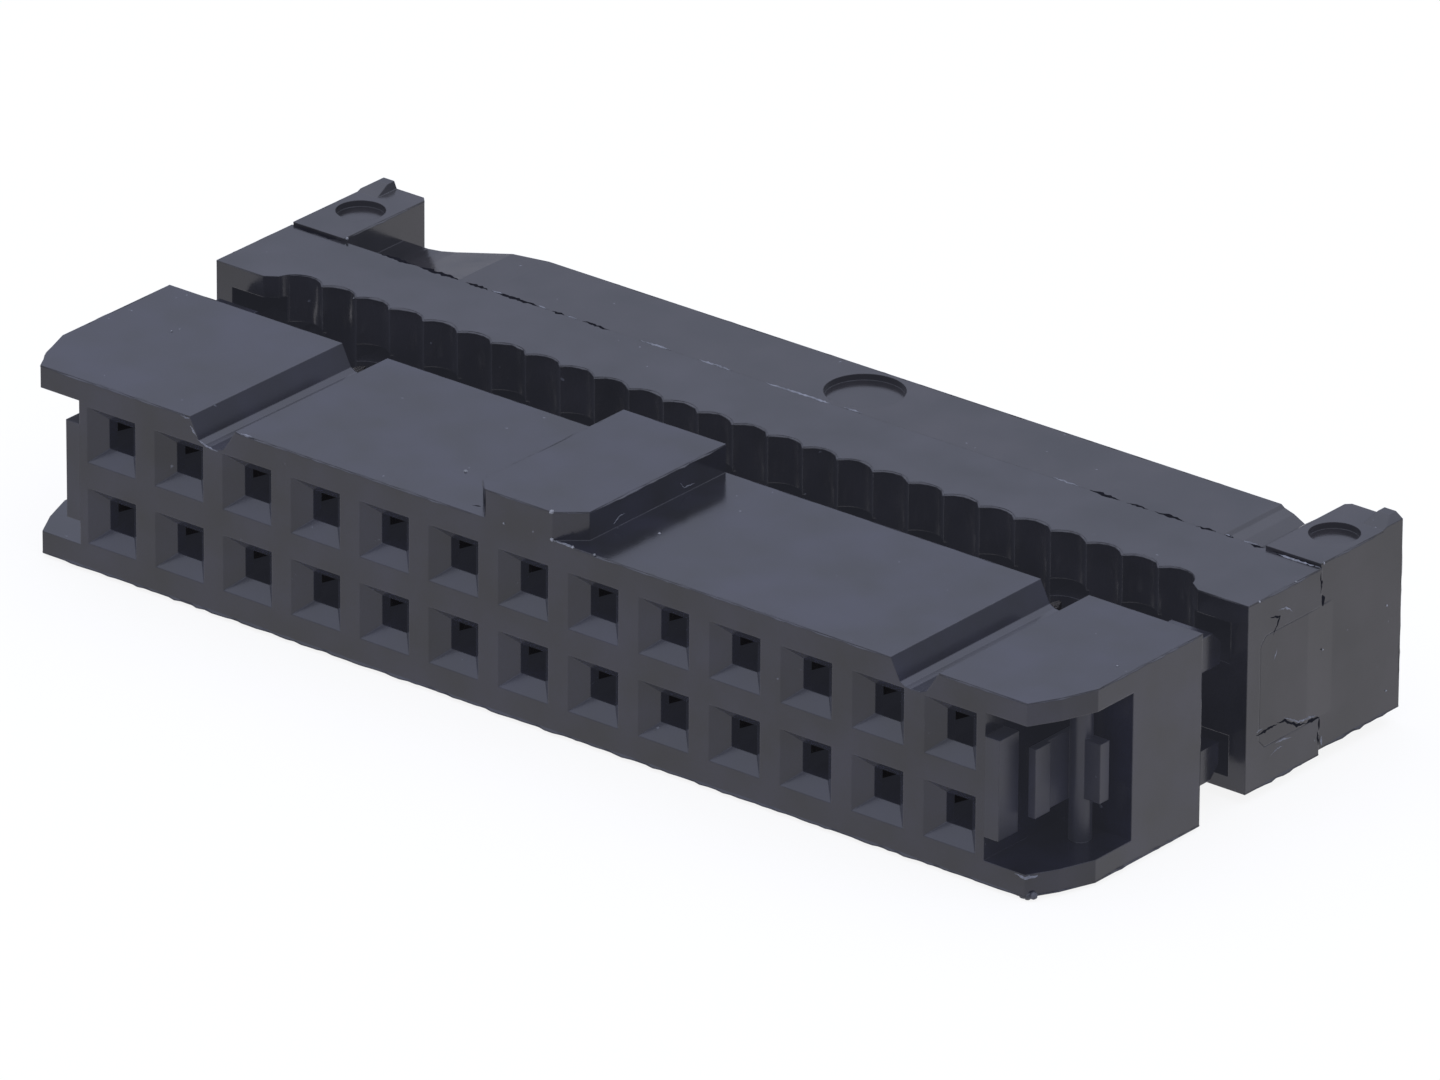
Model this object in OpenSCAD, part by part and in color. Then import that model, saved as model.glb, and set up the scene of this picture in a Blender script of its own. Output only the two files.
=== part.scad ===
// Ribbon-cable socket with insulation displacement contacts, cover and strain relief.
// X runs along the rows of contacts, Y from the mating face back to the strain relief,
// and Z up towards the key. The origin is the middle of the contact grid, on the mating face.

/* [Contact grid] */
// Distance between neighbouring contacts in a row, and between the two rows
pitch = 2.54; // [2.5:0.01:2.6]

/* [Housing] */
// Length of the housing past the outermost contact centres, at each end
end_reach = 3.56; // [3.4:0.02:3.9]
// Length of the solid core past the outermost contact centres, at each end
core_reach = 1.21; // [1.1:0.01:1.25]
// Depth from the mating face to the back of the housing
housing_depth = 6.7; // [6.4:0.05:7.4]
// Height of the housing between its two flat sides
housing_height = 5.9; // [5.85:0.05:6.6]
// Thickness of the two plates that reach past the core at each end
plate_t = 0.7; // [0.5:0.05:0.75]
// Depth of the open pocket at each end
pocket_depth = 3.6; // [3.6:0.05:4]
// Length taken off each front corner
corner_cut = 0.9; // [0.5:0.05:1]
// Depth over which a front corner slants
corner_depth = 2; // [1:0.1:2.2]
// Width of a groove in the key side
groove_w = 1.7; // [1.4:0.05:1.75]
// Depth of a groove in the key side
groove_depth = 0.78; // [0.5:0.02:0.8]
// Distance the rib at each end of the core's front stands out from the core
rib_w = 0.5; // [0.3:0.05:0.5]
// Height of that rib
rib_h = 3.05; // [2.4:0.05:3.5]
// Depth of that rib from the mating face
rib_depth = 0.87; // [0.5:0.01:0.87]

/* [Polarising key] */
// Width of the key
key_w = 3.72; // [3:0.02:4.5]
// Height of the key above the housing
key_h = 0.88; // [0.5:0.02:1.5]
// Width of the large cut on the key's front corner at high X
key_cut_w = 0.8; // [0.5:0.02:1.2]
// Depth of that cut
key_cut_depth = 0.67; // [0.4:0.01:1.2]
// Width of the small cut on the key's front corner at low X
small_cut_w = 0.46; // [0.2:0.02:0.6]
// Depth of that cut
small_cut_depth = 0.47; // [0.2:0.01:0.8]

/* [Pin openings] */
// Width of the lead-in funnel at the mating face
funnel_w = 1.82; // [1.4:0.02:1.9]
// Height of the lead-in funnel at the mating face
funnel_h = 1.74; // [1.4:0.02:1.76]
// Depth of the lead-in funnel
funnel_depth = 0.45; // [0.3:0.05:0.7]
// Side of the square throat behind the funnel
throat = 0.9; // [0.8:0.02:1]
// Length of the throat
throat_depth = 0.35; // [0.2:0.05:0.5]

/* [Contacts] */
// Thickness of the contact metal
contact_t = 0.25; // [0.2:0.01:0.32]
// Width of the contact base, which fills its slot in the housing
base_w = 1.7; // [1.5:0.02:1.8]
// Length of the contact base along its slot
base_len = 2.3; // [1.6:0.1:2.6]
// Width of one spring beam at its root
beam_root_w = 0.42; // [0.3:0.02:0.48]
// Width of the gap between the two beams where they grip a pin
grip_gap = 0.54; // [0.4:0.02:0.6]
// Length of the wire fork behind the housing
fork_len = 1.85; // [1.5:0.05:1.95]
// Width of the wire fork
fork_w = 1.1; // [0.9:0.02:1.14]
// Width of the wire slot in the fork
wire_slot_w = 0.26; // [0.2:0.02:0.34]

/* [Cover] */
// Gap between the housing and the cover before the cover is pressed home
open_gap = 2.08; // [1.8:0.02:2.1]
// Gap that stays between them when the cover is pressed home
closed_gap = 0.05; // [0.03:0.01:0.1]
// Depth of the cover
cover_depth = 3.38; // [3.2:0.02:4]
// Height of the cover's key side above that side of the housing
cover_rise = 0.08; // [0:0.01:0.14]
// Height of the cover's other side above that side of the housing
cover_lift = 0.2; // [0.1:0.02:0.3]
// Depth of the cable recess between the end posts
recess_depth = 0.56; // [0.4:0.02:0.7]
// Width of the slant on the inner front corner of each end post
post_cut_w = 0.51; // [0.3:0.01:0.7]
// Depth of that slant
post_cut_depth = 0.36; // [0.2:0.01:0.38]
// Radius of the wire scallops
scallop_r = 0.8; // [0.7:0.01:0.9]
// Depth of the wire scallops
scallop_depth = 0.3; // [0.2:0.01:0.4]

/* [Latch legs] */
// Thickness of a latch leg
leg_t = 0.5; // [0.4:0.05:0.6]
// Height of a latch leg where it runs through the housing
leg_h = 1.6; // [1.2:0.05:1.8]
// Height of the head that holds the leg in the end pocket
head_h = 2.14; // [2:0.02:2.2]
// Length of that head
head_len = 0.5; // [0.3:0.05:0.5]

/* [End pockets] */
// Radius of the round post that stands in each end pocket
post_r = 0.33; // [0.25:0.01:0.36]
// Distance from the back of the pocket to the middle of the post
post_setback = 0.76; // [0.6:0.02:0.9]
// Thickness of the fin that guides the leg's head
fin_t = 0.12; // [0.1:0.01:0.2]
// Height of that fin
fin_h = 2.1; // [1.6:0.05:3]
// Distance from the mating face to the front of that fin
fin_front = 1; // [0.6:0.05:1.5]
// Thickness of the bead along the fin's front edge
bead_t = 0.25; // [0.2:0.01:0.32]
// Length of that bead
bead_len = 0.66; // [0.4:0.02:0.9]
// Length of the wing on the outer side of the post
wing_len = 0.82; // [0.5:0.02:0.9]
// Thickness of that wing
wing_t = 0.4; // [0.3:0.05:0.6]
// Height of that wing
wing_h = 1.8; // [1.2:0.05:3]

/* [Guide tabs] */
// Distance the guide tabs stand out behind the housing
tab_len = 1.75; // [1.4:0.05:1.8]
// Length of a guide tab along the housing
tab_w = 1.45; // [1:0.05:1.5]
// Height of a guide tab
tab_h = 1.05; // [0.8:0.05:1.1]

/* [Strain relief] */
// Depth of the bar that clamps the cable
bar_depth = 2.69; // [2.4:0.01:3.2]
// Depth of the two end blocks
block_depth = 3.79; // [3.3:0.01:4.2]
// Length of an end block
block_w = 1.93; // [1.7:0.01:2.1]
// Distance from the end of the cover to the outer face of an end block
block_inset = 0.05; // [0.02:0.01:0.12]
// Height of an end block above the cover
block_rise = 0.1; // [0.02:0.02:0.3]
// Depth of the valley beside each end block
valley_drop = 0.86; // [0.4:0.02:1.1]
// Thickness of a side arm
arm_t = 0.6; // [0.4:0.02:0.64]
// Height of a side arm
arm_h = 3.4; // [2.4:0.05:3.6]
// Distance from the front of the cover to the tip of a side arm
arm_setback = 0.6; // [0.4:0.05:1]

/* [Hidden] */

// Contacts in one row, and the nodes that stand before the contacts in the list
columns = 13;
moulded_nodes = 3;

// Facets of a round form, overrun of a cut, and the play between moving pieces
round_fn = 48;
cut_over = 0.5;
play = 0.1;

// Colours of the plastic and of the contact metal
plastic = [0.27, 0.27, 0.31];
metal = [0.72, 0.69, 0.6];

// Half sizes of the housing, its core and its pocket
half_len = (columns - 1) / 2 * pitch + end_reach;
core_half = (columns - 1) / 2 * pitch + core_reach;
half_h = housing_height / 2;
pocket_half_h = half_h - plate_t;

// Front corner of the plates, from the mating face to the end face
corner_shares = [[0, 0], [0.55, 0.45], [1, 1]];
// Columns that stand before each groove, and the groove's outline across and down
groove_after = [2, 12];
groove_shares = [
    [0, 0], [0.2, 0.85], [0.3, 0.97], [0.42, 1], [0.62, 0.97], [0.75, 0.85], [0.86, 0.5], [1, 0]
];

// Pin openings: the beam chamber is as wide as the base and as high as the throat
wire_pitch = pitch / 2;
chamber_front = funnel_depth + throat_depth;
base_front = housing_depth - base_len;

// Spring beams: tips behind the throat, grip point, and lead-in for the pin
beam_side_gap = 0.06;
beam_tip_gap = 0.15;
beam_lead = 0.95;
beam_tip_share = 0.84;
beam_bevel = 0.08;
beam_tip = chamber_front + beam_tip_gap;
beam_out = base_w / 2 - beam_side_gap;

// Wire fork: depth of the wire slot, its mouth, and the slope of the points
slot_depth_share = 0.7;
mouth_share = 0.2;
mouth_w_share = 0.5;
slot_step = 30;
point_w_share = 0.68;
point_share = 0.22;

// Cover: its faces, the way it travels, and the slots that take the wire forks
travel = open_gap - closed_gap;
cover_front = housing_depth + open_gap;
cover_back = cover_front + cover_depth;
cover_top = half_h + cover_rise;
cover_bottom = -half_h + cover_lift;
cover_mid = (cover_top + cover_bottom) / 2;
recess_half = columns * wire_pitch;
recess_face = cover_front + recess_depth;
fork_slot_play = 0.14;
fork_slot_end = housing_depth + fork_len + travel + fork_slot_play;

// Latch legs: their place beside the core, and the head that the pocket's back wall holds
leg_gap = 0.15;
leg_in = core_half + leg_gap;
leg_out = leg_in + leg_t;
leg_root = 0.8;
leg_nose = 0.15;
head_back = pocket_depth - play;
leg_tip = head_back - head_len;

// End pockets: the post and its fin stand beside the way of the leg's head
post_gap = 0.17;
post_x = leg_out + post_gap + post_r;
post_y = pocket_depth - post_setback;
fin_in = leg_out + play;

// Guide tabs: gap to the core's end, gap to the leg, and the bevel of the tips
tab_side_gap = 0.2;
tab_in = core_half + tab_side_gap;
tab_gap = 0.13;
tab_low = head_h / 2 + tab_gap;
tab_bevel_share = 0.35;

// Strain relief: its faces, the valleys, the mould marks and the raised back corners
relief_drop = 0.13;
relief_bottom = cover_bottom + relief_drop;
block_out = half_len - block_inset;
block_in = block_out - block_w;
block_top = cover_top + block_rise;
block_bevel = 0.15;
bar_back = cover_back + bar_depth;
block_back = cover_back + block_depth;
arm_front = cover_front + arm_setback;
arm_bevel = 0.25;
arm_play = 0.012;
mark_depth = 0.2;
mark_r = 0.74;
bar_mark_r = 1.19;
bar_mark_x = 1.45;
pad_rise = 0.22;
pad_w = 0.75;
pad_depth = 0.9;
pad_side_w = 0.1;
pad_flat_depth = 0.3;
pad_bevel = 0.25;
pad_edge_share = 0.25;

module plastic_part() {
    color(plastic) children();
}

module both_ends() {
    children();
    mirror([1, 0, 0]) children();
}

module both_rows() {
    children();
    mirror([0, 0, 1]) children();
}

// A box given by its low and high limits along each axis
module block(x, y, z) {
    translate([x[0], y[0], z[0]]) cube([x[1] - x[0], y[1] - y[0], z[1] - z[0]]);
}

// An outline in the XY plane, raised from one height to another
module raised(z) {
    translate([0, 0, z[0]]) linear_extrude(height = z[1] - z[0]) children();
}

// An outline in the XZ plane, drawn as X and Z, carried from one depth to another
module carried(y) {
    translate([0, y[1], 0]) rotate([90, 0, 0]) linear_extrude(height = y[1] - y[0]) children();
}

// An outline in the YZ plane, drawn as Y and Z, carried along the length
module lengthwise(x) {
    translate([x[0], 0, 0]) rotate([90, 0, 90]) linear_extrude(height = x[1] - x[0]) children();
}

// Housing

module housing_outline() {
    front_x = half_len - corner_cut;
    corner = [for (s = corner_shares) [front_x + s[0] * corner_cut, s[1] * corner_depth]];
    right = concat(corner, [[half_len, housing_depth]]);
    polygon(concat(right, mirrored(right)));
}

module key() {
    w = key_w / 2;
    raised([half_h - cut_over, half_h + key_h]) polygon([
        [-w, housing_depth], [-w, small_cut_depth], [-w + small_cut_w, 0],
        [w - key_cut_w, 0], [w, key_cut_depth], [w, housing_depth]
    ]);
}

module groove(after) {
    x0 = (after - columns / 2) * pitch - groove_w / 2;
    low = [for (s = groove_shares) [x0 + s[0] * groove_w, half_h - s[1] * groove_depth]];
    high = [[x0 + groove_w, half_h + cut_over], [x0, half_h + cut_over]];
    carried([-cut_over, housing_depth + cut_over]) polygon(concat(low, high));
}

module end_pocket() {
    block([core_half, half_len + cut_over], [-cut_over, pocket_depth],
        [-pocket_half_h, pocket_half_h]);
}

module front_rib() {
    block([core_half - cut_over, core_half + rib_w], [0, rib_depth], [-rib_h / 2, rib_h / 2]);
}

// The round post between the plates, with the guide fin before it and the wing beside it
module latch_post() {
    translate([post_x, post_y, 0])
        cylinder(h = housing_height - plate_t, r = post_r, center = true, $fn = round_fn);
    block([fin_in, fin_in + fin_t], [fin_front, post_y], [-fin_h / 2, fin_h / 2]);
    block([fin_in, fin_in + bead_t], [fin_front, fin_front + bead_len], [-fin_h / 2, fin_h / 2]);
    block([post_x, post_x + wing_len], [post_y - wing_t / 2, post_y + wing_t / 2],
        [-wing_h / 2, wing_h / 2]);
}

module leg_tunnel() {
    block([leg_in - play, leg_out + play], [pocket_depth - cut_over, housing_depth + cut_over],
        [-leg_h / 2 - play, leg_h / 2 + play]);
}

module guide_tab() {
    tip = housing_depth + tab_len;
    top = tab_low + tab_h;
    bevel = tab_bevel_share * tab_h;
    lengthwise([tab_in, tab_in + tab_w]) polygon([
        [housing_depth - cut_over, tab_low], [tip, tab_low],
        [tip, top - bevel], [tip - bevel, top], [housing_depth - cut_over, top]
    ]);
}

// One pin opening: a funnel, a square throat, the chamber of the beams and the base slot
module funnel() {
    far = funnel_depth + throat_depth / 2;
    grow = cut_over / funnel_depth;
    w = [throat / 2, funnel_w / 2, funnel_w / 2 + grow * (funnel_w - throat) / 2];
    h = [throat / 2, funnel_h / 2, funnel_h / 2 + grow * (funnel_h - throat) / 2];
    intersection() {
        raised([-h[2], h[2]]) polygon([
            [-w[2], -cut_over], [w[2], -cut_over], [w[0], funnel_depth],
            [w[0], far], [-w[0], far], [-w[0], funnel_depth]
        ]);
        lengthwise([-w[2], w[2]]) polygon([
            [-cut_over, -h[2]], [-cut_over, h[2]], [funnel_depth, h[0]],
            [far, h[0]], [far, -h[0]], [funnel_depth, -h[0]]
        ]);
    }
}

module pin_opening() {
    t = throat / 2;
    b = base_w / 2;
    funnel();
    raised([-t, t]) polygon([
        [-t, funnel_depth], [t, funnel_depth], [t, chamber_front], [b, chamber_front],
        [b, base_front], [-b, base_front], [-b, chamber_front], [-t, chamber_front]
    ]);
    block([-b, b], [base_front, housing_depth + cut_over], [-contact_t / 2, contact_t / 2]);
}

module housing() {
    plastic_part() difference() {
        union() {
            difference() {
                raised([-half_h, half_h]) housing_outline();
                both_ends() end_pocket();
            }
            key();
            both_ends() front_rib();
            both_ends() latch_post();
            both_ends() both_rows() guide_tab();
        }
        both_ends() leg_tunnel();
        for (after = groove_after) groove(after);
        for (c = [0 : columns - 1]) both_rows()
            translate([column_x(c), 0, pitch / 2]) pin_opening();
    }
}

// Contacts

function column_x(c) = (c - (columns - 1) / 2) * pitch;

// Half of the outline in the housing: the beam from its inner root to its tip, then the base
function beam_points() = [
    [beam_out - beam_root_w, base_front], [grip_gap / 2, beam_tip + beam_lead],
    [beam_tip_share * beam_out - beam_bevel, beam_tip], [beam_out - beam_bevel, beam_tip],
    [beam_out, beam_tip + beam_bevel], [beam_out, base_front],
    [base_w / 2, base_front], [base_w / 2, housing_depth]
];

// The fork at its own foot: two pointed blades with the wire slot between them
function fork_points() =
    let(w = fork_w / 2, s = wire_slot_w / 2)
    let(foot = fork_len * (1 - slot_depth_share), mouth = fork_len * (1 - mouth_share))
    let(blade = [
        [w, 0], [w, fork_len * (1 - point_share)], [point_w_share * w, fork_len],
        [mouth_w_share * w, fork_len], [s, mouth]
    ])
    let(arc = [for (a = [0 : slot_step : 180]) [s * cos(a), foot + s - s * sin(a)]])
    concat(blade, arc, mirrored(blade));

// Points turned over to the other side, in the order that carries an outline on
function mirrored(points) =
    [for (i = [len(points) - 1 : -1 : 0]) [-points[i][0], points[i][1]]];

// Contacts follow the wires of the ribbon: odd ones in the key-side row, even ones below.
// Each fork stands at its own wire, half a wire pitch to one side of its column.
module contact(index) {
    side = index % 2 == 0 ? -1 : 1;
    z = -side * pitch / 2;
    fork = [for (p = fork_points()) [p[0] + side * wire_pitch / 2, p[1] + housing_depth]];
    color(metal) translate([column_x(floor(index / 2)), 0, 0])
        raised([z - contact_t / 2, z + contact_t / 2])
            polygon(concat(fork, mirrored(beam_points()), beam_points()));
}

// Cover

module cable_recess() {
    right = [
        [recess_half + post_cut_w, cover_front - cut_over], [recess_half + post_cut_w, cover_front],
        [recess_half, cover_front + post_cut_depth], [recess_half, recess_face]
    ];
    raised([cover_bottom - cut_over, cover_top + cut_over]) polygon(concat(right, mirrored(right)));
}

module scallops() {
    for (i = [0 : 2 * columns - 1])
        translate([(i - columns + 1 / 2) * wire_pitch, recess_face + scallop_depth - scallop_r, 0])
            cylinder(h = housing_height + 2 * cut_over, r = scallop_r, center = true,
                $fn = round_fn);
}

module fork_slots() {
    w = fork_w / 2 + fork_slot_play;
    t = contact_t / 2 + fork_slot_play;
    for (i = [0 : 2 * columns - 1]) {
        z = (i % 2 == 0 ? 1 : -1) * pitch / 2;
        x = (i - columns + 1 / 2) * wire_pitch;
        block([x - w, x + w], [cover_front, fork_slot_end], [z - t, z + t]);
    }
}

module tab_pocket() {
    block([tab_in - play, tab_in + tab_w + play],
        [cover_front - cut_over, housing_depth + tab_len + travel + play],
        [tab_low - play, tab_low + tab_h + play]);
}

module arm_recess() {
    lengthwise([half_len - arm_t, half_len + cut_over]) arm_outline(cover_back + cut_over, arm_play);
}

module latch_leg() {
    leg = leg_h / 2;
    head = head_h / 2;
    root = cover_front + leg_root;
    lengthwise([leg_in, leg_out]) polygon([
        [root, leg], [head_back, leg], [head_back, head], [leg_tip + leg_nose, head],
        [leg_tip, head - leg_nose], [leg_tip, leg_nose - head], [leg_tip + leg_nose, -head],
        [head_back, -head], [head_back, -leg], [root, -leg]
    ]);
}

module cover() {
    plastic_part() {
        difference() {
            block([-half_len, half_len], [cover_front, cover_back], [cover_bottom, cover_top]);
            cable_recess();
            scallops();
            fork_slots();
            both_ends() both_rows() tab_pocket();
            both_ends() arm_recess();
        }
        both_ends() latch_leg();
    }
}

// Strain relief

// The bar's outline seen from behind: a long ramp down to the valley at one end and a
// short one at the other
ramp_left_shares = [[0, 1], [0.17, 1], [0.26, 0.93], [0.36, 0.79], [0.75, 0.16], [1, 0]];
ramp_right_shares = [[0, 1], [0.2, 0.8], [0.44, 0.44], [0.7, 0.21], [0.92, 0.1], [1, 0]];
ramp_left_w = 5.5;
ramp_right_w = 1.5;

module bar_outline() {
    left = [for (s = ramp_left_shares)
        [-block_in + s[0] * ramp_left_w, cover_top - s[1] * valley_drop]];
    right = [for (s = ramp_right_shares)
        [block_in - s[0] * ramp_right_w, cover_top - s[1] * valley_drop]];
    back = [for (i = [len(right) - 1 : -1 : 0]) right[i]];
    polygon(concat([[-block_in, relief_bottom]], left, back, [[block_in, relief_bottom]]));
}

module end_block() {
    raised([relief_bottom, block_top]) polygon([
        [block_in, cover_back], [block_out, cover_back], [block_out, block_back],
        [block_in + block_bevel, block_back], [block_in, block_back - block_bevel]
    ]);
}

// The low pad on an end block's back corner, with a slope at its front and at its sides
module corner_pad() {
    low = block_top - cut_over;
    top = block_top + pad_rise;
    x = block_out - pad_w;
    y = block_back - pad_depth;
    intersection() {
        carried([y, block_back]) polygon([
            [x, low], [x, block_top], [x + pad_side_w, top], [block_out - pad_bevel, top],
            [block_out, block_top + pad_edge_share * pad_rise], [block_out, low]
        ]);
        lengthwise([x, block_out]) polygon([
            [y, low], [y, block_top], [block_back - pad_flat_depth, top],
            [block_back, top], [block_back, low]
        ]);
    }
}

// Side view of an arm up to a given depth, and of its recess when grown by a play
module arm_outline(back, grow) {
    h = arm_h / 2 + grow;
    front = arm_front - grow;
    polygon([
        [back, cover_mid - h], [back, cover_mid + h],
        [front + arm_bevel, cover_mid + h], [front, cover_mid + h - arm_bevel],
        [front, cover_mid - h + arm_bevel], [front + arm_bevel, cover_mid - h]
    ]);
}

// The arm lies flush in the cover's end and runs out into the face of the end block
module side_arm() {
    back = cover_back + arm_t;
    inner = half_len - arm_t;
    intersection() {
        lengthwise([inner, half_len]) arm_outline(back, 0);
        raised([cover_bottom, cover_top]) polygon([
            [inner, arm_front], [half_len, arm_front], [half_len, cover_back - arm_t],
            [block_out, back], [inner, back]
        ]);
    }
}

module mould_mark(x, y, top, r) {
    translate([x, y, top - mark_depth])
        cylinder(h = mark_depth + cut_over, r = r, $fn = round_fn);
}

module strain_relief() {
    plastic_part() difference() {
        union() {
            carried([cover_back, bar_back]) bar_outline();
            both_ends() end_block();
            both_ends() corner_pad();
            both_ends() side_arm();
        }
        both_ends()
            mould_mark((block_in + block_out) / 2, (cover_back + block_back) / 2, block_top, mark_r);
        mould_mark(bar_mark_x, cover_back + bar_depth / 2, cover_top, bar_mark_r);
    }
}

housing();
cover();
strain_relief();
for (i = [0 : 2 * columns - 1])
    contact(i);
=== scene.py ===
import math
import random

import bmesh
import bpy
from mathutils import Matrix, Vector


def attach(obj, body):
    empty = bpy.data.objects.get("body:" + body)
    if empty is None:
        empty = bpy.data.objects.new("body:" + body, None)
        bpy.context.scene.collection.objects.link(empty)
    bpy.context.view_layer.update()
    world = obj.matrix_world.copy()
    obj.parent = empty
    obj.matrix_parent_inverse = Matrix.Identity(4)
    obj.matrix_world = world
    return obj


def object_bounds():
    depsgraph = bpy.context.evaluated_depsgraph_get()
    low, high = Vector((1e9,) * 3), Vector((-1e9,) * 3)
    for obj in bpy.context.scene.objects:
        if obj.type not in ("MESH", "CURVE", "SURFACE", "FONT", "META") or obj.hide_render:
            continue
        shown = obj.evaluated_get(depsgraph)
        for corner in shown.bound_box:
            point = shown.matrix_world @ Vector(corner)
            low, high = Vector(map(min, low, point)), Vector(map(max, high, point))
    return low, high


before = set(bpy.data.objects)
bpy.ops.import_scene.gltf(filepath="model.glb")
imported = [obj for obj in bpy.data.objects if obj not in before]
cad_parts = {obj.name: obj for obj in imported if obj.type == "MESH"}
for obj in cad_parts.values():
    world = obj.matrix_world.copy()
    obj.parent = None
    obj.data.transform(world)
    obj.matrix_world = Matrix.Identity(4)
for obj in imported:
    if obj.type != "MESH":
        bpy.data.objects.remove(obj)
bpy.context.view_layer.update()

MM = 0.001
SEED = 11
random.seed(SEED)

# Camera of the photograph, worked out from the grid of pin openings
CAMERA_AZIMUTH = 38.867
CAMERA_ELEVATION = 24.462
CAMERA_ROLL = 0.349
CAMERA_TARGET = Vector((0.562, 8.071, 0.0)) * MM
CAMERA_DISTANCE = 475.497 * MM
CAMERA_LENS = 419.40
SENSOR_WIDTH = 36.0

# Light: soft, and brighter the higher it comes from
SKY_HORIZON, SKY_HORIZON_Z = (0.34, 0.36, 0.45), 0.14
SKY_LOW, SKY_LOW_Z = (0.65, 0.695, 0.885), 0.43
SKY_HIGH, SKY_HIGH_Z = (1.38, 1.46, 1.80), 0.72

# Floor: the camera sees this share of plain white in it, and the rest shows a faint shadow
SHADOWLESS = 0.88
FLOOR_SIZE = 2.4
FLOOR_WHITE = (0.9, 0.9, 0.9)
PURE_WHITE = (1.0, 1.0, 1.0)
GLOSS_WHITE = (0.90, 0.89, 0.93)

# Colours of plastic and metal
HOUSING_TINT = (0.0040, 0.0040, 0.0080)
COVER_TINT = (0.0060, 0.0055, 0.0070)
RELIEF_TINT = (0.0055, 0.0045, 0.0050)
PLASTIC_DUST = (0.075, 0.078, 0.090)
# Lighter colour of the worn edges, which also paints a highlight along them
PLASTIC_WEAR_AND_HIGHLIGHT = (0.040, 0.041, 0.048)
# Painted glow: faint light given off by all the plastic, so that its holes and recesses never go
# black
PLASTIC_PAINTED_GLOW = (0.0125, 0.0132, 0.0175)
FLASH_TINT = (0.150, 0.155, 0.175)
SPECK_TINT = (0.260, 0.262, 0.270)
NUB_TINT = (0.055, 0.056, 0.064)
# Near-black of the painted shade in cracks, at the step, in the slot and beside the key
CRACK_SHADE_TINTS = ((0.001, 0.001, 0.002), (0.006, 0.006, 0.009))
METAL_TINT = (0.31, 0.29, 0.265)

# Noises, as waves per metre, detail and roughness
CLOUD = (480.0, 3.0, 0.5)
STREAK = (900.0, 3.0, 0.5)
GRAIN = (16000.0, 2.0, 0.6)
SPECK = (4200.0, 1.0, 0.5)
EDGE_WEAR_AND_HIGHLIGHT_NOISE = (1900.0, 3.0, 0.6)
FRAY_CLOUD = (3800.0, 3.0, 0.6)
FRAY_GRAIN = (15000.0, 3.0, 0.5)
CRACK_SHADE_CLOUD = (2600.0, 3.0, 0.5)
ROLLING_LINES = (4000.0, 2.0, 0.5)
METAL_CLOUD = (1500.0, 2.0, 0.5)

# Parts of a range over which a noise, or the turn of a rounded edge, takes effect
MIDDLE_BAND = (0.3, 0.7)
TINT_BAND = (0.32, 0.68)
SPECK_BAND = (0.79, 0.83)
EDGE_WEAR_AND_HIGHLIGHT_BAND = (0.5, 0.72)
FRAY_BAND = (0.35, 0.65)
TURN_BAND = (0.985, 0.85)

# Shares of a tint in its darkest and lightest places
TINT_SHARES = (0.2, 2.1)
FRAY_SHARES = (0.55, 1.25)
METAL_SHARES = (0.8, 1.1)

# Roughness, and how far clouds and streaks change it
PLASTIC_ROUGHNESS, CLOUD_GLOSS, STREAK_GLOSS = 0.17, (-0.03, 0.04), (-0.02, 0.02)
FLASH_ROUGHNESS, DUST_ROUGHNESS, NUB_ROUGHNESS, FRAY_GLOSS = 0.5, 0.7, 0.45, 0.1
# Roughness of the painted crack shade, and the strength of its painted glow
CRACK_ROUGHNESS, CRACK_GLOW_STRENGTH = 0.9, 0.7
METAL_ROUGHNESS = (0.22, 0.36)
PLASTIC_IOR = 1.5

# Relief of the surfaces: strength and depth of a bump, and how its parts are mixed or stretched
PLASTIC_BUMP = (0.25, 0.012 * MM)
FRAY_BUMP = (0.5, 0.01 * MM)
METAL_BUMP = (0.2, 0.01 * MM)
STREAK_WEIGHT, GRAIN_WEIGHT = 1.6, 0.5
STREAKS_ALONG_X, STREAKS_ALONG_Y = (0.16, 1.0, 1.0), (1.0, 0.16, 1.0)
ROLLING_STRETCH = (8.0, 0.6, 1.0)
EDGE_ROUNDING, EDGE_SAMPLES = 0.04 * MM, 6

# The end pockets are rougher than the outside of the housing, and their painted glow is brighter
POCKET_X, POCKET_DEPTH, POCKET_Z = 16.46, 3.58, 2.24
POCKET_ROUGHNESS = 0.2
POCKET_GLOW_SHARE = 1.35

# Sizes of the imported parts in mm, for the pieces that lie on their edges and faces
TOP, KEY_TOP, COVER_TOP, BLOCK_TOP = 2.95, 3.83, 3.03, 3.13
BOTTOM, COVER_BOTTOM, RELIEF_BOTTOM = -2.95, -2.75, -2.62
HALF_LEN, FRONT_X, CORNER_DEPTH = 18.8, 17.9, 2.0
CORNER_BEND_SHARES = (0.55, 0.45)
BACK, COVER_FRONT, COVER_BACK = 6.7, 8.78, 12.16
COVER_POST, BAR_BACK, BAR_LEFT, BAR_RIGHT = 17.02, 14.85, -11.3, 15.3
BLOCK_BACK, BLOCK_IN, BLOCK_OUT, BLOCK_SIDE_BACK, BLOCK_BEVEL = 15.95, 16.82, 18.75, 15.8, 0.15
PAD_FRONT, PAD_SIDE, PAD_TOP = 15.05, 18.0, 3.15
GROOVES = ((-12.28, -10.58), (13.12, 14.82))
KEY_HALF = 1.86
KEY_LEFT_CUT, KEY_RIGHT_CUT = (-1.4, 0.47), (1.06, 0.67)
WIRES, WIRE_PITCH = 26, 1.27
SCALLOP_Y, SCALLOP_R, SCALLOP_STEPS = 8.84, 0.8, 5

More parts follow.
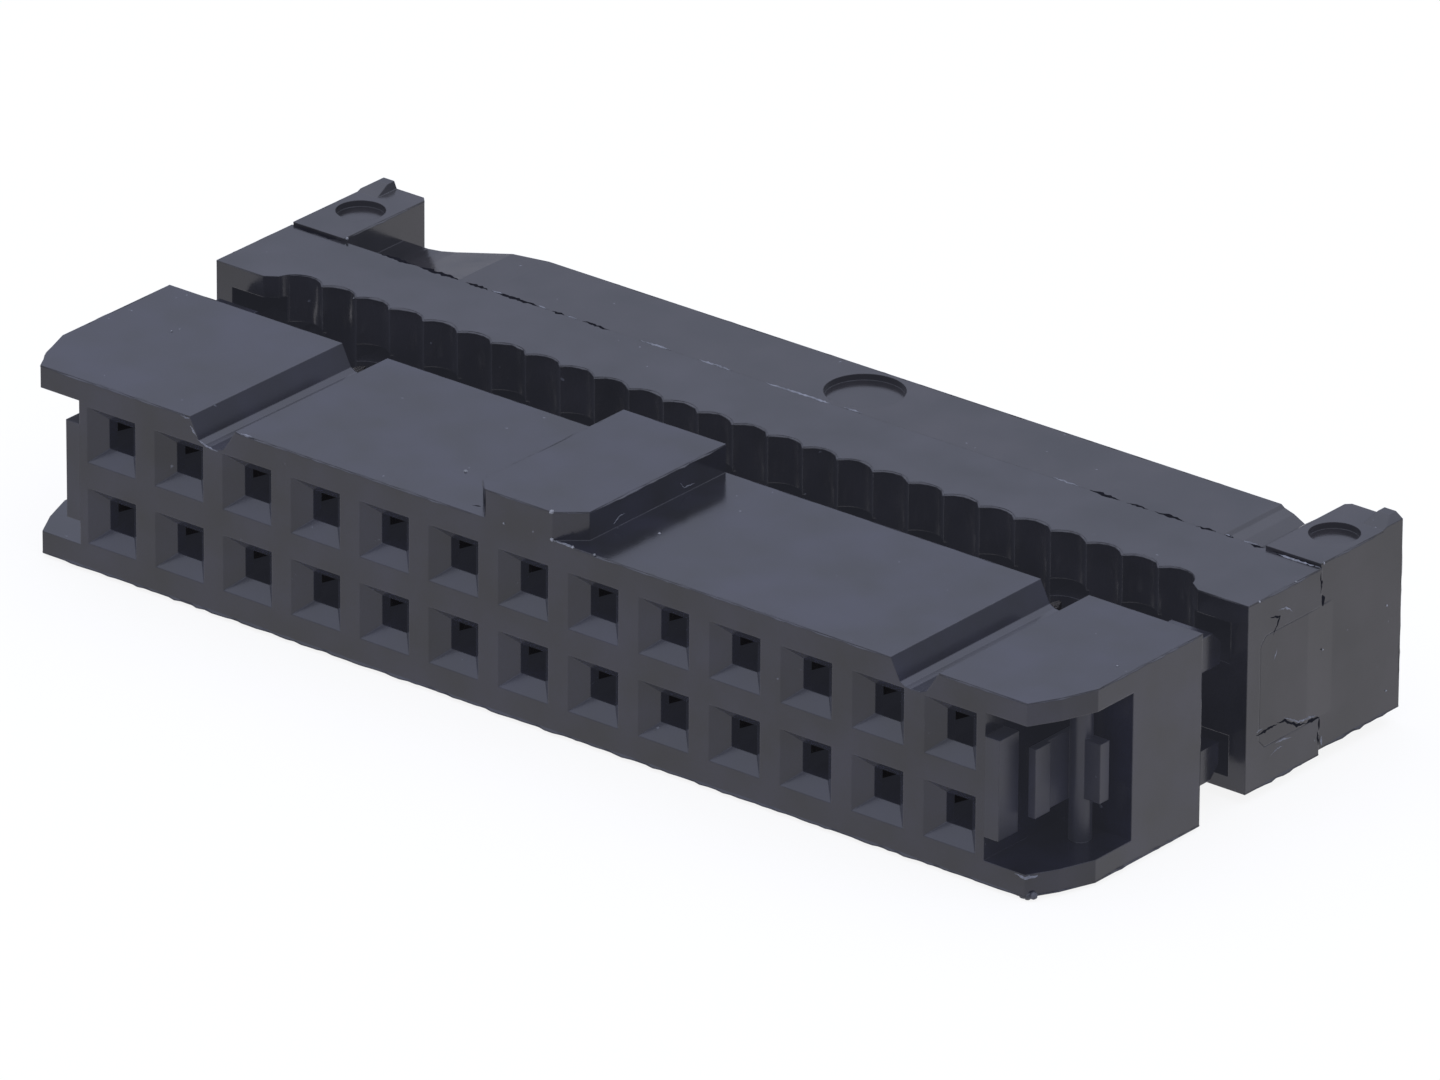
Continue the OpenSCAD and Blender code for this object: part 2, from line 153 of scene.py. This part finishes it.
# Directions in which ridges stand out
UP, END, FRONT, REAR = (0, 0, 1), (1, 0, 0), (0, -1, 0), (0, 1, 0)
FRONT_TOP, PLATE_LIP, KEY_CORNER = (0, -1, 1), (0, -1, 0.4), (-1, -1, 0)
CORNER_LEAN, BOTTOM_LEAN = 0.8, -0.4

# Unevenness of ridges and grains: thin ends, changing width and height, steps to the side
TAPER_START, TAPER_RISE, TAPER_STATIONS = 0.25, 1.5, (2, 8)
WIDTH_JITTER, HEIGHT_JITTER, SIDE_JITTER = (0.7, 1.15), (0.35, 1.2), (-0.5, 0.5)
FOOT_SHARE = 0.5
GRAIN_JITTER, NUB_JITTER, GRAIN_SUBDIVISIONS = 0.25, 0.04, 2

# Forms of ridges: width, height and spacing of the stations in mm, and share of side steps
# Lines of painted shade in cracks, at the step and in the slot
SEAM_SHADE_FORM = (0.25, 0.015, 0.1, 0.3)
STEP_SHADE_FORM = (0.28, 0.02, 0.1, 0.3)
END_SHADE_FORM = (0.15, 0.01, 0.08, 0.3)
SLOT_SHADE_FORM = (0.25, 0.012, 0.06, 0.1)
SEAM_BURR = (0.15, 0.03, 0.08, 0.3)
END_BURR = (0.1, 0.012, 0.08, 0.3)

# Parting lines lie just under an edge, and are lower where they face the closing gap
EDGE_DROP = 0.04
EDGE_LINE = (0.09, 0.07, 0.28, 0.1)
GAP_LINE = (0.09, 0.018, 0.28, 0.1)

# Seam of the cover and the strain relief, as X and Y on the top face: painted shade in its
# cracks and at the step, and burrs
SEAM_CRACK_SHADES = (
    ((-18.62, 12.20), (-17.86, 12.20), (-17.24, 12.19)), ((-17.20, 12.18), (-16.86, 12.17)),
    ((-15.42, 12.16), (-14.19, 12.16)), ((-13.96, 12.15), (-12.52, 12.17)),
    ((-12.20, 12.15), (-11.38, 12.15)), ((-11.10, 12.17), (-9.49, 12.17)),
    ((-8.98, 12.15), (-8.52, 12.16)), ((-7.86, 12.17), (-6.84, 12.15)),
    ((10.60, 12.16), (11.68, 12.17)), ((11.95, 12.15), (12.65, 12.16)),
    ((12.90, 12.17), (13.42, 12.19), (13.95, 12.15)), ((14.41, 12.13), (15.05, 12.17)),
    ((15.40, 12.17), (15.68, 12.15)), ((16.30, 12.12), (16.74, 12.15)),
)
STEP_CRACK_SHADES = (
    ((17.02, 12.14), (17.40, 12.10), (17.90, 12.14), (18.30, 12.12), (18.76, 12.15)),
    ((-18.66, 12.14), (-18.00, 12.12), (-17.40, 12.15), (-16.90, 12.14)),
)
SEAM_BURRS = (
    ((-11.25, 12.20), (-10.78, 12.17)), ((-9.53, 12.22), (-9.22, 12.18)),
    ((-8.45, 12.18), (-8.06, 12.17)), ((-5.70, 12.16), (-4.60, 12.18)),
    ((9.30, 12.18), (10.20, 12.17)), ((-3.55, 12.17), (-2.95, 12.20), (-2.35, 12.17)),
    ((-1.05, 12.12), (0.11, 12.17), (1.28, 12.15)), ((1.72, 12.20), (2.34, 12.22)),
    ((16.02, 12.19), (16.58, 12.22)), ((15.36, 12.22), (15.60, 12.20)),
    ((17.25, 12.06), (18.10, 12.08), (18.78, 12.10)),
)

# End face of the cover, as Y and Z: painted shade in its cracks and slot, and burrs
END_CRACK_SHADES = (
    ((9.80, 2.34), (10.24, 2.21), (10.12, 2.0), (9.95, 1.74)), ((12.10, 2.90), (12.13, 2.25)),
    ((9.24, -1.10), (10.22, -1.07)),
    ((10.20, -1.04), (10.52, -1.08), (11.13, -1.44), (11.55, -1.53)),
    ((11.50, -1.53), (12.17, -1.57)), ((12.15, -1.57), (12.16, -1.97)),
    ((12.10, -1.98), (12.12, -2.42)),
)
END_SLOT_SHADE = ((12.20, 2.17), (12.22, 2.02), (12.23, 1.83))
END_BURRS = (
    ((10.16, 2.42), (10.50, 2.39), (10.83, 2.17)), ((10.15, 1.28), (10.0, 0.95)),
    ((9.26, -0.99), (9.53, -0.98)), ((10.52, -0.99), (11.18, -1.36), (11.96, -1.46)),
    ((12.29, -2.20), (12.30, -2.50)), ((10.13, -1.63), (10.54, -1.66), (10.91, -1.73)),
    ((9.95, -1.94), (10.23, -1.85), (10.46, -1.84)),
)

# Painted shadow lines beside the key, and pale scrapes: path, direction and form of each ridge
KEY_SHADOWS = (
    (((-2.2, 0.42, TOP), (-1.95, 0.5, TOP)), UP, (0.18, 0.012, 0.08, 0.3)),
    (((-1.63, 0.235, TOP), (-1.63, 0.235, KEY_TOP)), KEY_CORNER, (0.6, 0.01, 0.2, 0.05)),
    (((-1.39, -0.005, 2.97), (-1.39, -0.005, KEY_TOP)), FRONT, (0.06, 0.008, 0.1, 0.1)),
)
SCRAPES = (
    (((KEY_HALF, 1.72, 3.09), (KEY_HALF, 1.95, 3.24), (KEY_HALF, 2.2, 3.25)),
     END, (0.09, 0.02, 0.06, 0.3)),
    (((KEY_HALF, 4.66, 3.33), (KEY_HALF, 4.84, 3.12), (KEY_HALF, 5.3, 3.10)),
     END, (0.07, 0.015, 0.06, 0.3)),
    (((1.02, 0, 2.97), (1.45, 0, 2.98), (1.86, 0, 2.96)), FRONT_TOP, (0.07, 0.03, 0.06, 0.3)),
    (((-12.64, 0, 2.92), (-12.26, 0, 2.88)), FRONT_TOP, (0.11, 0.03, 0.08, 0.3)),
    (((-12.27, 0, 2.66), (-12.02, 0, 2.38)), FRONT, (0.16, 0.012, 0.06, 0.2)),
    (((-12.01, 0, 2.32), (-11.64, 0, 2.18), (-11.23, 0, 2.16)),
     FRONT_TOP, (0.05, 0.015, 0.06, 0.3)),
    (((-10.5, 0, 2.95), (-9.9, 0, 2.96)), FRONT_TOP, (0.08, 0.035, 0.08, 0.3)),
)
PLATE_SCRAPES = (
    (((17.55, -0.005, -2.3), (17.9, -0.005, -2.33), (18.15, 0.24, -2.28)),
     PLATE_LIP, (0.1, 0.02, 0.06, 0.3)),
)

# Grains of dust and lumps of the gate nub: place and radius
COVER_DUST = (
    ((HALF_LEN, 9.27, 3.0), 0.035), ((HALF_LEN, 10.94, 3.02), 0.03),
    ((HALF_LEN, 12.26, 0.47), 0.025), ((BLOCK_OUT, 15.28, 0.75), 0.03),
    ((BLOCK_OUT, 15.33, -1.9), 0.03), ((17.88, 12.05, COVER_TOP), 0.035),
    ((-16.75, 12.22, BLOCK_TOP), 0.04), ((18.74, 12.3, 3.1), 0.035), ((-14.2, 9.5, 2.88), 0.035),
)
HOUSING_DUST = (
    ((-3.81, 2.07, TOP), 0.055), ((1.03, 0, KEY_TOP), 0.06), ((1.05, -0.01, 2.99), 0.05),
    ((1.8, -0.01, 2.97), 0.04), ((2.58, 0, 2.96), 0.035), ((-0.7, 0, 2.97), 0.03),
    ((3.06, 2.28, TOP), 0.04), ((-16.57, 4.2, TOP), 0.03), ((18.3, 3.5, TOP), 0.025),
)
NUB_LUMPS = (
    ((17.6, 0.13, -2.9), 0.12), ((17.75, 0.13, -2.93), 0.13),
    ((17.9, 0.14, -2.93), 0.13), ((18.05, 0.2, -2.9), 0.12),
)


def new_material(name):
    material = bpy.data.materials.new(name)
    material.use_nodes = True
    tree = material.node_tree
    tree.nodes.clear()
    return material, tree


def object_coords(tree):
    return tree.nodes.new("ShaderNodeTexCoord").outputs["Object"]


def stretched(tree, coords, scale):
    node = tree.nodes.new("ShaderNodeMapping")
    node.inputs["Scale"].default_value = scale
    tree.links.new(coords, node.inputs["Vector"])
    return node.outputs["Vector"]


def math_node(tree, operation, a, b=None):
    node = tree.nodes.new("ShaderNodeMath")
    node.operation = operation
    for socket, value in zip(node.inputs, (a, b)):
        if isinstance(value, (int, float)):
            socket.default_value = value
        elif value is not None:
            tree.links.new(value, socket)
    return node.outputs[0]


def noise(tree, coords, scale, detail, rough):
    node = tree.nodes.new("ShaderNodeTexNoise")
    node.inputs["Scale"].default_value = scale
    node.inputs["Detail"].default_value = detail
    node.inputs["Roughness"].default_value = rough
    tree.links.new(coords, node.inputs["Vector"])
    return node.outputs["Fac"]


def ramp(tree, source, band, out=(0.0, 1.0)):
    node = tree.nodes.new("ShaderNodeMapRange")
    node.inputs["From Min"].default_value, node.inputs["From Max"].default_value = band
    node.inputs["To Min"].default_value, node.inputs["To Max"].default_value = out
    tree.links.new(source, node.inputs["Value"])
    return node.outputs["Result"]


def mix_color(tree, fac, a, b):
    node = tree.nodes.new("ShaderNodeMix")
    node.data_type = "RGBA"
    tree.links.new(fac, node.inputs["Factor"])
    for socket, value in (("A", a), ("B", b)):
        target = [s for s in node.inputs if s.name == socket and s.type == "RGBA"][0]
        if isinstance(value, tuple):
            target.default_value = (*value, 1.0)
        else:
            tree.links.new(value, target)
    return [s for s in node.outputs if s.type == "RGBA"][0]


def tint_between(tree, fac, tint, shares):
    """The tint between its darkest and its lightest share."""
    dark, light = [tuple(c * share for c in tint) for share in shares]
    return mix_color(tree, fac, dark, light)


def bump(tree, height, strength, distance, normal=None):
    node = tree.nodes.new("ShaderNodeBump")
    node.inputs["Strength"].default_value = strength
    node.inputs["Distance"].default_value = distance
    tree.links.new(height, node.inputs["Height"])
    if normal:
        tree.links.new(normal, node.inputs["Normal"])
    return node.outputs["Normal"]


def surface_shader(tree, **sources):
    """The shader of a material, joined to its output, with the sources linked to its sockets."""
    shader = tree.nodes.new("ShaderNodeBsdfPrincipled")
    for name, source in sources.items():
        tree.links.new(source, shader.inputs[name.replace("_", " ")])
    out = tree.nodes.new("ShaderNodeOutputMaterial")
    tree.links.new(shader.outputs["BSDF"], out.inputs["Surface"])
    return shader


# Painted glow: a faint light given off by the plastic itself
def set_painted_glow(shader, strength):
    shader.inputs["Emission Color"].default_value = (*PLASTIC_PAINTED_GLOW, 1.0)
    shader.inputs["Emission Strength"].default_value = strength


def pocket_mask(tree, coords):
    """One inside the end pockets of the housing, zero elsewhere."""
    split = tree.nodes.new("ShaderNodeSeparateXYZ")
    tree.links.new(coords, split.inputs[0])
    x, y, z = split.outputs
    beyond = math_node(tree, "GREATER_THAN", math_node(tree, "ABSOLUTE", x), POCKET_X * MM)
    shallow = math_node(tree, "LESS_THAN", y, POCKET_DEPTH * MM)
    between = math_node(tree, "LESS_THAN", math_node(tree, "ABSOLUTE", z), POCKET_Z * MM)
    return math_node(tree, "MULTIPLY", math_node(tree, "MULTIPLY", beyond, shallow), between)


def worn_and_highlit_edges(tree, coords, rounded):
    """One on the stretches of rounded edges that are worn and given a painted highlight, zero on
    faces.
    """
    geometry = tree.nodes.new("ShaderNodeNewGeometry")
    turn = tree.nodes.new("ShaderNodeVectorMath")
    turn.operation = "DOT_PRODUCT"
    tree.links.new(rounded, turn.inputs[0])
    tree.links.new(geometry.outputs["Normal"], turn.inputs[1])
    return math_node(tree, "MULTIPLY", ramp(tree, turn.outputs["Value"], TURN_BAND),
                     ramp(tree, noise(tree, coords, *EDGE_WEAR_AND_HIGHLIGHT_NOISE), EDGE_WEAR_AND_HIGHLIGHT_BAND))


def plastic_material(name, tint, streak_stretch, has_pockets=False):
    """Satin moulded plastic: cloudy gloss, fine grain, flow streaks, dust specks, worn edges
    with a painted highlight, and a faint painted glow.
    """
    material, tree = new_material(name)
    coords = object_coords(tree)
    cloud = noise(tree, coords, *CLOUD)
    streak = noise(tree, stretched(tree, coords, streak_stretch), *STREAK)
    grain = noise(tree, coords, *GRAIN)
    speck = noise(tree, coords, *SPECK)
    bevel = tree.nodes.new("ShaderNodeBevel")
    bevel.samples = EDGE_SAMPLES
    bevel.inputs["Radius"].default_value = EDGE_ROUNDING
    rounded = bevel.outputs["Normal"]

    shade = tint_between(tree, ramp(tree, cloud, TINT_BAND), tint, TINT_SHARES)
    worn_and_highlit = mix_color(tree, worn_and_highlit_edges(tree, coords, rounded), shade, PLASTIC_WEAR_AND_HIGHLIGHT)
    surface_color = mix_color(tree, ramp(tree, speck, SPECK_BAND), worn_and_highlit, PLASTIC_DUST)

    gloss = tuple(PLASTIC_ROUGHNESS + change for change in CLOUD_GLOSS)
    rough = math_node(tree, "ADD", ramp(tree, cloud, MIDDLE_BAND, gloss),
                      ramp(tree, streak, MIDDLE_BAND, STREAK_GLOSS))
    inside = pocket_mask(tree, coords) if has_pockets else None
    if inside:
        extra = math_node(tree, "MULTIPLY", inside, POCKET_ROUGHNESS)
        rough = math_node(tree, "ADD", rough, extra)

    height = math_node(tree, "ADD", math_node(tree, "MULTIPLY", streak, STREAK_WEIGHT),
                       math_node(tree, "MULTIPLY", grain, GRAIN_WEIGHT))
    relief = bump(tree, height, *PLASTIC_BUMP, rounded)
    shader = surface_shader(tree, Base_Color=surface_color, Roughness=rough, Normal=relief)
    shader.inputs["IOR"].default_value = PLASTIC_IOR
    # Painted glow over all the plastic, brighter in the end pockets
    set_painted_glow(shader, 1.0)
    if inside:
        brighter_glow = tuple(c * POCKET_GLOW_SHARE for c in PLASTIC_PAINTED_GLOW)
        pocket_glow = mix_color(tree, inside, PLASTIC_PAINTED_GLOW, brighter_glow)
        tree.links.new(pocket_glow, shader.inputs["Emission Color"])
    return material


def frayed_material(name, tint, roughness):
    """Dull and uneven: torn and stress-whitened plastic, grains of dust and the gate nub."""
    material, tree = new_material(name)
    coords = object_coords(tree)
    cloud = noise(tree, coords, *FRAY_CLOUD)
    color = tint_between(tree, ramp(tree, cloud, FRAY_BAND), tint, FRAY_SHARES)
    rough = ramp(tree, cloud, MIDDLE_BAND, (roughness - FRAY_GLOSS, roughness + FRAY_GLOSS))
    relief = bump(tree, noise(tree, coords, *FRAY_GRAIN), *FRAY_BUMP)
    shader = surface_shader(tree, Base_Color=color, Roughness=rough, Normal=relief)
    shader.inputs["IOR"].default_value = PLASTIC_IOR
    return material


def crack_shade_material(name):
    """Painted shade of an open crack: near-black with no gloss, lit only by the faint painted
    glow of the plastic.
    """
    material, tree = new_material(name)
    color = mix_color(tree, noise(tree, object_coords(tree), *CRACK_SHADE_CLOUD), *CRACK_SHADE_TINTS)
    shader = surface_shader(tree, Base_Color=color)
    shader.inputs["Specular IOR Level"].default_value = 0.0
    shader.inputs["Roughness"].default_value = CRACK_ROUGHNESS
    set_painted_glow(shader, CRACK_GLOW_STRENGTH)
    return material


def metal_material(name):
    """Stamped and tinned contact metal: fine rolling lines and a slightly uneven gloss."""
    material, tree = new_material(name)
    coords = object_coords(tree)
    lines = noise(tree, stretched(tree, coords, ROLLING_STRETCH), *ROLLING_LINES)
    cloud = noise(tree, coords, *METAL_CLOUD)
    color = tint_between(tree, ramp(tree, cloud, MIDDLE_BAND), METAL_TINT, METAL_SHARES)
    rough = ramp(tree, lines, MIDDLE_BAND, METAL_ROUGHNESS)
    relief = bump(tree, lines, *METAL_BUMP)
    shader = surface_shader(tree, Base_Color=color, Roughness=rough, Normal=relief)
    shader.inputs["Metallic"].default_value = 1.0
    return material


def floor_material():
    """White sweep: white to the camera but for a faint shadow, and white in reflections."""
    material, tree = new_material("floor_white")
    links = tree.links
    path = tree.nodes.new("ShaderNodeLightPath")
    diffuse = tree.nodes.new("ShaderNodeBsdfDiffuse")
    diffuse.inputs["Color"].default_value = (*FLOOR_WHITE, 1.0)
    layer = diffuse.outputs[0]
    for ray, color, share in (("Is Glossy Ray", GLOSS_WHITE, 1.0),
                              ("Is Camera Ray", PURE_WHITE, SHADOWLESS)):
        glow = tree.nodes.new("ShaderNodeEmission")
        glow.inputs["Color"].default_value = (*color, 1.0)
        glow.inputs["Strength"].default_value = 1.0
        mix = tree.nodes.new("ShaderNodeMixShader")
        links.new(math_node(tree, "MULTIPLY", path.outputs[ray], share), mix.inputs["Fac"])
        links.new(layer, mix.inputs[1])
        links.new(glow.outputs[0], mix.inputs[2])
        layer = mix.outputs[0]
    out = tree.nodes.new("ShaderNodeOutputMaterial")
    links.new(layer, out.inputs["Surface"])
    return material


def set_material(obj, material):
    if not obj.material_slots:
        obj.data.materials.append(material)
    for slot in obj.material_slots:
        slot.link = "OBJECT"
        slot.material = material


def dress_cad_nodes():
    """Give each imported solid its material, and return the materials of the moulded ones."""
    moulded = {
        "housing": plastic_material("housing_plastic", HOUSING_TINT, STREAKS_ALONG_Y, True),
        "cover": plastic_material("cover_plastic", COVER_TINT, STREAKS_ALONG_X),
        "strain_relief": plastic_material("relief_plastic", RELIEF_TINT, STREAKS_ALONG_X),
    }
    metal = metal_material("contact_metal")
    for name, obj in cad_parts.items():
        set_material(obj, moulded.get(name, metal))
    return moulded


def stations(path, step):
    """Points along a path in mm, about one step apart."""
    points = [Vector(p) for p in path]
    out = [points[0]]
    for a, b in zip(points, points[1:]):
        count = max(1, round((b - a).length / step))
        out.extend(a.lerp(b, (i + 1) / count) for i in range(count))
    return out


def add_ridge(bm, path, out, form):
    """An uneven ridge along a path, thin at both ends, three points across."""
    width, height, step, wander = form
    fewest, most = TAPER_STATIONS
    points = stations(path, step)
    out = Vector(out).normalized()
    last = len(points) - 1
    rows = []
    for i, point in enumerate(points):
        ahead = (points[min(i + 1, last)] - points[max(i - 1, 0)]).normalized()
        side = ahead.cross(out).normalized()
        rise_share = TAPER_RISE * min(i, last - i) / max(fewest, min(last, most))
        taper = min(1.0, TAPER_START + rise_share)
        half = side * width / 2 * taper * random.uniform(*WIDTH_JITTER)
        rise = out * height * taper * random.uniform(*HEIGHT_JITTER)
        middle = point + side * width * wander * random.uniform(*SIDE_JITTER)
        foot = out * height * FOOT_SHARE
        row = (middle - half - foot, middle + rise, middle + half - foot)
        rows.append([bm.verts.new(v * MM) for v in row])
    for a, b in zip(rows, rows[1:]):
        for j in range(3):
            k = (j + 1) % 3
            bm.faces.new((a[j], a[k], b[k], b[j]))
    bm.faces.new(rows[0])
    bm.faces.new(reversed(rows[-1]))


def add_grain(bm, place, radius, jitter):
    """A small uneven lump, such as a grain of dust or a bit of flash."""
    ball = bmesh.ops.create_icosphere(bm, subdivisions=GRAIN_SUBDIVISIONS, radius=radius * MM,
                                      matrix=Matrix.Translation(Vector(place) * MM))
    for vert in ball["verts"]:
        vert.co += Vector([random.uniform(-jitter, jitter) * radius * MM for _ in range(3)])


def detail_piece(name, body, material, ridges=(), grains=(), jitter=GRAIN_JITTER):
    bm = bmesh.new()
    for ridge in ridges:
        add_ridge(bm, *ridge)
    for place, radius in grains:
        add_grain(bm, place, radius, jitter)
    bmesh.ops.recalc_face_normals(bm, faces=bm.faces)
    mesh = bpy.data.meshes.new(name)
    bm.to_mesh(mesh)
    bm.free()
    piece = bpy.data.objects.new(name, mesh)
    mesh.materials.append(material)
    bpy.context.collection.objects.link(piece)
    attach(piece, body)


def plate_corner(z, sign):
    """Bent edge of the plate at a front corner."""
    along, across = CORNER_BEND_SHARES
    x = [FRONT_X, FRONT_X + along * (HALF_LEN - FRONT_X), HALF_LEN]
    y = [0.0, across * CORNER_DEPTH, CORNER_DEPTH]
    return [(sign * a, b, z) for a, b in zip(x, y)]


def key_outline():
    """Corners of the key from above, and the outward directions of its sides."""
    left_x, left_y = KEY_LEFT_CUT
    right_x, right_y = KEY_RIGHT_CUT
    corners = [(-KEY_HALF, BACK), (-KEY_HALF, left_y), (left_x, 0), (right_x, 0),
               (KEY_HALF, right_y), (KEY_HALF, BACK), (-KEY_HALF, BACK)]
    outs = [(-1, 0, 0), KEY_CORNER, FRONT, (1, -1, 0), END, REAR]
    return corners, outs


def housing_edges():
    """Parting lines of the housing, just under its edges, with their outward directions."""
    left, right = GROOVES
    top, bottom, key_top = TOP - EDGE_DROP, BOTTOM + EDGE_DROP, KEY_TOP - EDGE_DROP
    spans = [(left[1], -KEY_HALF), (KEY_HALF, right[0])]
    front = [(-FRONT_X, left[0])] + spans + [(right[1], FRONT_X)]
    back = [(-HALF_LEN, left[0])] + spans + [(right[1], HALF_LEN)]
    edges = [([(a, 0, top), (b, 0, top)], FRONT) for a, b in front]
    edges += [([(a, BACK, top), (b, BACK, top)], REAR) for a, b in back]
    edges.append(([(-FRONT_X, 0, bottom), (FRONT_X, 0, bottom)], (0, -1, BOTTOM_LEAN)))
    for sign in (1, -1):
        end, inset = sign * HALF_LEN, sign * (HALF_LEN - EDGE_DROP)
        for z in (top, bottom):
            edges.append((plate_corner(z, sign), (CORNER_LEAN * sign, -1, 0)))
            edges.append(([(end, CORNER_DEPTH, z), (end, BACK, z)], (sign, 0, 0)))
        edges.append(([(inset, BACK, BOTTOM), (inset, BACK, TOP)], REAR))
    key, outs = key_outline()
    edges += [([(*a, key_top), (*b, key_top)], out) for a, b, out in zip(key, key[1:], outs)]
    return edges


def scallop_edge(z):
    """Edge of the cable recess, with an arc for each wire."""
    points = []
    for i in range(WIRES):
        middle = (i - (WIRES - 1) / 2) * WIRE_PITCH
        for j in range(SCALLOP_STEPS + 1):
            across = (j / SCALLOP_STEPS - 0.5) * WIRE_PITCH
            depth = math.sqrt(SCALLOP_R ** 2 - across ** 2)
            points.append((middle + across, SCALLOP_Y + depth, z))
    return points


def cover_edges():
    """Parting lines of the cover and the strain relief, with their outward directions."""
    top, bottom = COVER_TOP - EDGE_DROP, COVER_BOTTOM + EDGE_DROP
    block_top, relief_bottom = BLOCK_TOP - EDGE_DROP, RELIEF_BOTTOM + EDGE_DROP
    edges = [(scallop_edge(top), FRONT),
             ([(BAR_LEFT, BAR_BACK, top), (BAR_RIGHT, BAR_BACK, top)], REAR)]
    for sign in (1, -1):
        post, end = sign * COVER_POST, sign * HALF_LEN
        inner, block, pad = sign * BLOCK_IN, sign * BLOCK_OUT, sign * PAD_SIDE
        bevel, inset = inner + sign * BLOCK_BEVEL, block - sign * EDGE_DROP
        outward, inward, lower = (sign, 0, 0), (-sign, 0, 0), (sign, 0, BOTTOM_LEAN)
        edges += [
            ([(post, COVER_FRONT, top), (end, COVER_FRONT, top)], FRONT),
            ([(end, COVER_FRONT, top), (end, COVER_BACK, top)], outward),
            ([(end, COVER_FRONT, bottom), (end, COVER_BACK, bottom)], lower),
            ([(block, COVER_BACK, block_top), (block, PAD_FRONT, block_top)], outward),
            ([(inner, COVER_BACK, block_top), (inner, BLOCK_SIDE_BACK, block_top)], inward),
            ([(bevel, BLOCK_BACK, block_top), (pad, BLOCK_BACK, block_top)], REAR),
            ([(inset, BLOCK_BACK, RELIEF_BOTTOM), (inset, BLOCK_BACK, PAD_TOP)], REAR),
            ([(block, COVER_BACK, relief_bottom), (block, BLOCK_BACK, relief_bottom)], lower),
        ]
    return edges


def parting_lines(edges):
    """Ridges for the edges; those that face the closing gap are low enough to fit in it."""
    lines = []
    for path, out in edges:
        by_gap = all(BACK - EDGE_DROP < y < COVER_FRONT + EDGE_DROP for _, y, _ in path)
        lines.append((path, out, GAP_LINE if by_gap else EDGE_LINE))
    return lines


def on_top(paths, form):
    """Ridges on the top face of the cover, along paths of X and Y."""
    return [([(x, y, COVER_TOP) for x, y in path], UP, form) for path in paths]


def on_end(paths, form):
    """Ridges on the end face of the cover, along paths of Y and Z."""
    return [([(HALF_LEN, y, z) for y, z in path], END, form) for path in paths]


def make_marks(moulded):
    """Marks seen on the real part: painted shade in cracks and beside the key, burrs, scrapes,
    dust, gate nub and parting lines.
    """
    flash = frayed_material("frayed_plastic", FLASH_TINT, FLASH_ROUGHNESS)
    dust = frayed_material("dust_grains", SPECK_TINT, DUST_ROUGHNESS)
    nub = frayed_material("nub_plastic", NUB_TINT, NUB_ROUGHNESS)
    # Painted shade for the cracks, the step, the slot and beside the key
    dark = crack_shade_material("crack_shadow")

    crack_shades = on_top(SEAM_CRACK_SHADES, SEAM_SHADE_FORM) + on_top(STEP_CRACK_SHADES, STEP_SHADE_FORM)
    crack_shades += on_end(END_CRACK_SHADES, END_SHADE_FORM) + on_end([END_SLOT_SHADE], SLOT_SHADE_FORM)
    burrs = on_top(SEAM_BURRS, SEAM_BURR) + on_end(END_BURRS, END_BURR)
    detail_piece("cover_seam_crack_shade", "cover", dark, crack_shades)
    detail_piece("cover_seam_burrs", "cover", flash, burrs)
    detail_piece("cover_dust", "cover", dust, grains=COVER_DUST)

    detail_piece("housing_key_shadow", "socket", dark, KEY_SHADOWS)
    detail_piece("housing_scrapes", "socket", flash, SCRAPES)
    detail_piece("housing_dust", "socket", dust, grains=HOUSING_DUST)
    detail_piece("lower_plate_scrape", "socket", flash, PLATE_SCRAPES)
    detail_piece("gate_nub", "socket", nub, grains=NUB_LUMPS, jitter=NUB_JITTER)

    detail_piece("housing_parting_lines", "socket", moulded["housing"],
                 parting_lines(housing_edges()))
    detail_piece("cover_parting_lines", "cover", moulded["cover"],
                 parting_lines(cover_edges()))


def make_floor():
    bpy.ops.mesh.primitive_plane_add(size=FLOOR_SIZE, location=(0, 0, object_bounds()[0][2]))
    floor = bpy.context.object
    floor.name = "floor"
    floor.data.materials.append(floor_material())


def make_world():
    world = bpy.data.worlds.new("studio")
    world.use_nodes = True
    tree = world.node_tree
    background = tree.nodes["Background"]
    direction = tree.nodes.new("ShaderNodeTexCoord")
    split = tree.nodes.new("ShaderNodeSeparateXYZ")
    tree.links.new(direction.outputs["Generated"], split.inputs[0])
    z = split.outputs["Z"]
    low = mix_color(tree, ramp(tree, z, (SKY_HORIZON_Z, SKY_LOW_Z)), SKY_HORIZON, SKY_LOW)
    high = mix_color(tree, ramp(tree, z, (SKY_LOW_Z, SKY_HIGH_Z)), low, SKY_HIGH)
    tree.links.new(high, background.inputs["Color"])
    bpy.context.scene.world = world


def make_camera():
    azimuth, elevation = math.radians(CAMERA_AZIMUTH), math.radians(CAMERA_ELEVATION)
    back = Vector((math.sin(azimuth) * math.cos(elevation),
                   -math.cos(azimuth) * math.cos(elevation), math.sin(elevation)))
    right = (-back).cross(Vector((0, 0, 1))).normalized()
    up = right.cross(-back)
    turn = Matrix.Rotation(math.radians(CAMERA_ROLL), 3, back)
    right, up = turn @ right, turn @ up
    data = bpy.data.cameras.new("camera")
    data.lens = CAMERA_LENS
    data.sensor_width = SENSOR_WIDTH
    camera = bpy.data.objects.new("camera", data)
    place = Matrix((right, up, back)).transposed().to_4x4()
    place.translation = CAMERA_TARGET + back * CAMERA_DISTANCE
    camera.matrix_world = place
    bpy.context.collection.objects.link(camera)
    bpy.context.scene.camera = camera


make_marks(dress_cad_nodes())
make_floor()
make_world()
make_camera()
bpy.context.scene.view_settings.view_transform = "Standard"
